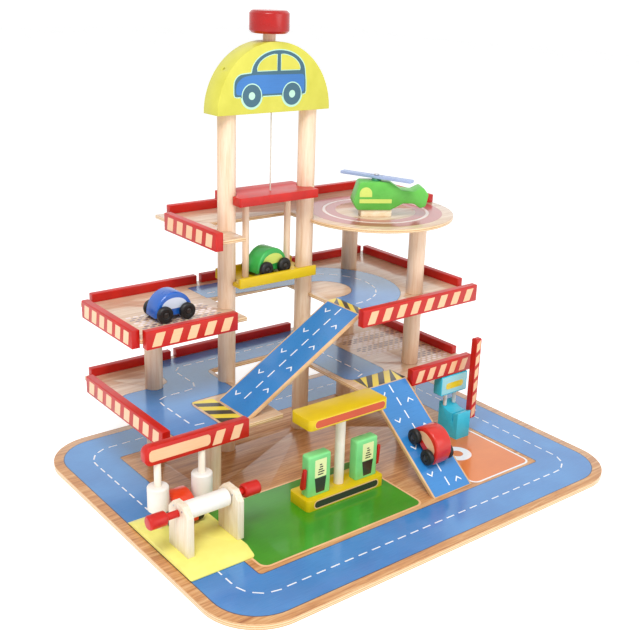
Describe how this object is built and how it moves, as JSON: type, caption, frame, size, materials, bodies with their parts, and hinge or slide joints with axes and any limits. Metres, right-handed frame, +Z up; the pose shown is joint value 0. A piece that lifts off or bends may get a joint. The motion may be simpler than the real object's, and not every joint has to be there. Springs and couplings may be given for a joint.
{
  "type": "toy parking garage with lift",
  "caption": "Wooden toy parking garage: stacked decks on dowels, ramps, a cord lift under a round head, fuel station, car wash, booth with barrier, toy cars and helicopter.",
  "frame": {"origin": "bottom centre of the ground board", "axes": "+X along the front edge, +Y towards the back, +Z up"},
  "size_m": [0.6005, 0.468, 0.552],
  "materials": {
    "ground_board": "satin lacquer over printed plywood",
    "deck_wood": "satin lacquer over printed plywood",
    "natural_wood": "satin",
    "red_paint": "satin paint on wood",
    "yellow_paint": "satin paint on wood",
    "pale_yellow_paint": "satin paint on wood",
    "blue_paint": "satin paint on wood",
    "green_paint": "satin paint on wood",
    "light_green_paint": "satin paint on wood",
    "teal_paint": "satin paint on wood",
    "white_paint": "satin paint on wood",
    "orange_paint": "satin paint on wood",
    "grey_blue_paint": "satin paint on wood",
    "black_paint": "satin paint on wood",
    "cord": "twisted cotton",
    "steel": "zinc plated"
  },
  "bodies": {
    "frame": {"base_board": "ground_board", "base_screws": "steel", "deck_1": "deck_wood", "deck_2": "deck_wood", "deck_3": "deck_wood", "deck_posts": "natural_wood", "deck_pins": "natural_wood", "lift_posts": "natural_wood", "side_board_1": "red_paint", "side_board_2": "red_paint", "side_board_3": "red_paint", "front_board_1": "red_paint", "front_boards_2": "red_paint", "wash_sign_board": "red_paint", "rails_1": "red_paint", "rails_2": "red_paint", "rails_3": "red_paint", "upper_ramp": "blue_paint", "lower_ramp": "blue_paint", "tower_head": "yellow_paint", "guide_plug": "natural_wood", "station_base": "yellow_paint", "station_post": "natural_wood", "station_roof": "yellow_paint", "pumps": "green_paint", "pump_nozzles": "red_paint", "wash_base": "pale_yellow_paint", "wash_plates": "white_paint", "wash_dowels": "natural_wood", "booth_block": "teal_paint", "booth_dowels": "white_paint", "booth_sign": "teal_paint", "pivot_pins": "steel", "helicopter_block": "natural_wood", "helicopter_body": "light_green_paint"},
    "lift": {"lift_tray": "yellow_paint", "lift_roof": "red_paint", "lift_rods": "natural_wood", "lift_cord": "cord"},
    "winder": {"winding_knob": "red_paint", "winding_spindle": "natural_wood", "cord_winding": "cord"},
    "barrier": {"barrier_arm": "white_paint"},
    "wash_top": {"wash_top_roller": "white_paint", "wash_axle": "red_paint"},
    "wash_left": {"wash_left_roller": "white_paint"},
    "wash_right": {"wash_right_roller": "white_paint"},
    "rotor": {"helicopter_rotor": "grey_blue_paint"},
    "blue_car": {"blue_car_body": "blue_paint"},
    "blue_front": {"blue_car_front_wheels": "black_paint"},
    "blue_rear": {"blue_car_rear_wheels": "black_paint"},
    "green_car": {"green_car_body": "green_paint"},
    "green_front": {"green_car_front_wheels": "black_paint"},
    "green_rear": {"green_car_rear_wheels": "black_paint"},
    "red_car": {"red_car_body": "red_paint"},
    "red_front": {"red_car_front_wheels": "black_paint"},
    "red_rear": {"red_car_rear_wheels": "black_paint"},
    "orange_car": {"orange_car_body": "orange_paint"},
    "orange_front": {"orange_car_front_wheels": "black_paint"},
    "orange_rear": {"orange_car_rear_wheels": "black_paint"}
  },
  "joints": [
    {"name": "lift_slide", "type": "slide", "parent": "frame", "child": "lift", "axis": [0, 0, 1], "range_m": [-0.224, 0.094], "deforming": ["lift_cord"]},
    {"name": "winder_turn", "type": "hinge", "parent": "frame", "child": "winder", "pos_m": [-0.0335, 0.1007, 0.52], "axis": [0, 0, 1], "range_deg": [-2150, 905]},
    {"name": "barrier_lift", "type": "hinge", "parent": "frame", "child": "barrier", "pos_m": [0.2034, -0.0485, 0.04], "axis": [1, 0, 0], "range_deg": [0, 90]},
    {"name": "top_roller_turn", "type": "hinge", "parent": "frame", "child": "wash_top", "pos_m": [-0.235, -0.0805, 0.0595], "axis": [1, 0, 0], "continuous": true},
    {"name": "left_roller_turn", "type": "hinge", "parent": "frame", "child": "wash_left", "pos_m": [-0.264, -0.028, 0.051], "axis": [0, 0, 1], "continuous": true},
    {"name": "right_roller_turn", "type": "hinge", "parent": "frame", "child": "wash_right", "pos_m": [-0.2085, -0.028, 0.051], "axis": [0, 0, 1], "continuous": true},
    {"name": "rotor_turn", "type": "hinge", "parent": "frame", "child": "rotor", "pos_m": [0.111, 0.0635, 0.352], "axis": [0, 0, 1], "continuous": true},
    {"name": "blue_car_roll", "type": "slide", "parent": "frame", "child": "blue_car", "axis": [-1, 0, 0], "range_m": [-0.035, 0.038]},
    {"name": "blue_front_turn", "type": "hinge", "parent": "blue_car", "child": "blue_front", "pos_m": [-0.186, 0.104, 0.2127], "axis": [0, -1, 0], "range_deg": [-201.5, 218.7]},
    {"name": "blue_rear_turn", "type": "hinge", "parent": "blue_car", "child": "blue_rear", "pos_m": [-0.156, 0.104, 0.2127], "axis": [0, -1, 0], "range_deg": [-201.5, 218.7]},
    {"name": "green_car_roll", "type": "slide", "parent": "lift", "child": "green_car", "axis": [-0.9903, -0.1392, 0], "range_m": [-0.0015, 0.0015]},
    {"name": "green_front_turn", "type": "hinge", "parent": "green_car", "child": "green_front", "pos_m": [-0.04835, 0.09861, 0.2467], "axis": [0.1392, -0.9903, 0], "range_deg": [-9.6, 9.6]},
    {"name": "green_rear_turn", "type": "hinge", "parent": "green_car", "child": "green_rear", "pos_m": [-0.01865, 0.10279, 0.2467], "axis": [0.1392, -0.9903, 0], "range_deg": [-9.6, 9.6]},
    {"name": "red_car_roll", "type": "slide", "parent": "frame", "child": "red_car", "axis": [0, -0.7941, -0.6078], "range_m": [-0.06, 0.03]},
    {"name": "red_front_turn", "type": "hinge", "parent": "red_car", "child": "red_front", "pos_m": [0.071, -0.11854, 0.04423], "axis": [1, 0, 0], "range_deg": [-344.8, 172.9]},
    {"name": "red_rear_turn", "type": "hinge", "parent": "red_car", "child": "red_rear", "pos_m": [0.071, -0.09471, 0.06246], "axis": [1, 0, 0], "range_deg": [-344.8, 172.9]},
    {"name": "orange_car_roll", "type": "slide", "parent": "frame", "child": "orange_car", "axis": [0, -1, 0], "range_m": [0, 0.068]},
    {"name": "orange_front_turn", "type": "hinge", "parent": "orange_car", "child": "orange_front", "pos_m": [-0.236, -0.037, 0.0247], "axis": [1, 0, 0], "range_deg": [-1, 390.6]},
    {"name": "orange_rear_turn", "type": "hinge", "parent": "orange_car", "child": "orange_rear", "pos_m": [-0.236, -0.007, 0.0247], "axis": [1, 0, 0], "range_deg": [-1, 390.6]}
  ],
  "couplings": [
    {"joint": "winder_turn", "follows": "lift_slide", "rad_per_m": 166.67},
    {"joint": "blue_front_turn", "follows": "blue_car_roll", "rad_per_m": 100},
    {"joint": "blue_rear_turn", "follows": "blue_car_roll", "rad_per_m": 100},
    {"joint": "green_front_turn", "follows": "green_car_roll", "rad_per_m": 100},
    {"joint": "green_rear_turn", "follows": "green_car_roll", "rad_per_m": 100},
    {"joint": "red_front_turn", "follows": "red_car_roll", "rad_per_m": 100},
    {"joint": "red_rear_turn", "follows": "red_car_roll", "rad_per_m": 100},
    {"joint": "orange_front_turn", "follows": "orange_car_roll", "rad_per_m": 100},
    {"joint": "orange_rear_turn", "follows": "orange_car_roll", "rad_per_m": 100}
  ]
}
